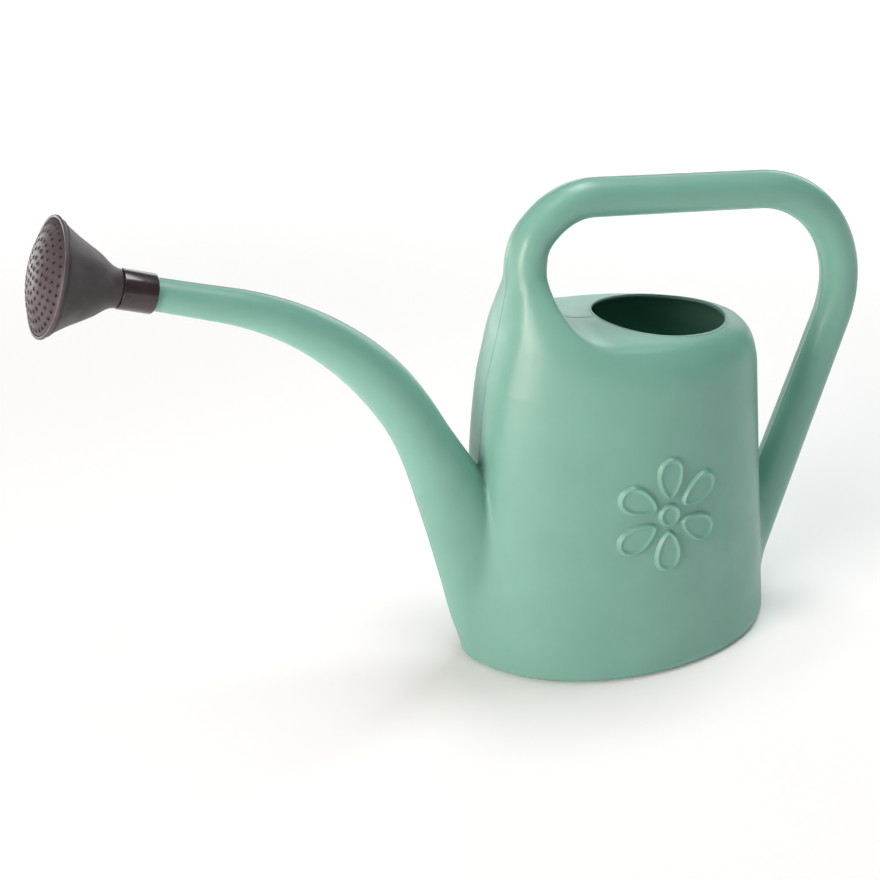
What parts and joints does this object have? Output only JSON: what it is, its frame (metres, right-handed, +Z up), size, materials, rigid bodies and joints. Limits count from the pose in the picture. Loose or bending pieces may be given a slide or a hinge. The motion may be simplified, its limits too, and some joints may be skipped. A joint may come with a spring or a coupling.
{
  "type": "watering can",
  "caption": "Blow-moulded plastic watering can with an oval tank, an open filler mouth, a loop handle over the deck, a long curved spout and a push-on sprinkler rose.",
  "frame": {"origin": "centre of the oval base, on the surface the can stands on", "axes": "+Z up; +X from the tank to the back of the handle, so the spout points to -X; the mould's parting plane is Y = 0"},
  "size_m": [0.5466, 0.1424, 0.3432],
  "materials": {
    "can_plastic": "sage-green high-density polyethylene, satin blow-moulded skin",
    "rose_plastic": "dark brown-grey polypropylene, satin",
    "collar_plastic": "dark brown-grey polypropylene, polished"
  },
  "bodies": {
    "can": {"tank_body": "can_plastic", "tank_deck": "can_plastic", "spout": "can_plastic", "handle_front_leg": "can_plastic", "handle_grip": "can_plastic", "handle_back_leg": "can_plastic"},
    "collar": {"rose_collar": "collar_plastic"},
    "rose_head": {"rose_cone": "rose_plastic", "rose_face": "rose_plastic"}
  },
  "joints": [
    {"name": "rose_pull_off", "type": "slide", "parent": "can", "child": "collar", "axis": [-0.95, 0, 0.3123], "range_m": [0, 0.045]},
    {"name": "rose_turn", "type": "hinge", "parent": "collar", "child": "rose_head", "pos_m": [-0.307, 0, 0.2921], "axis": [-0.95, 0, 0.3123], "continuous": true}
  ]
}
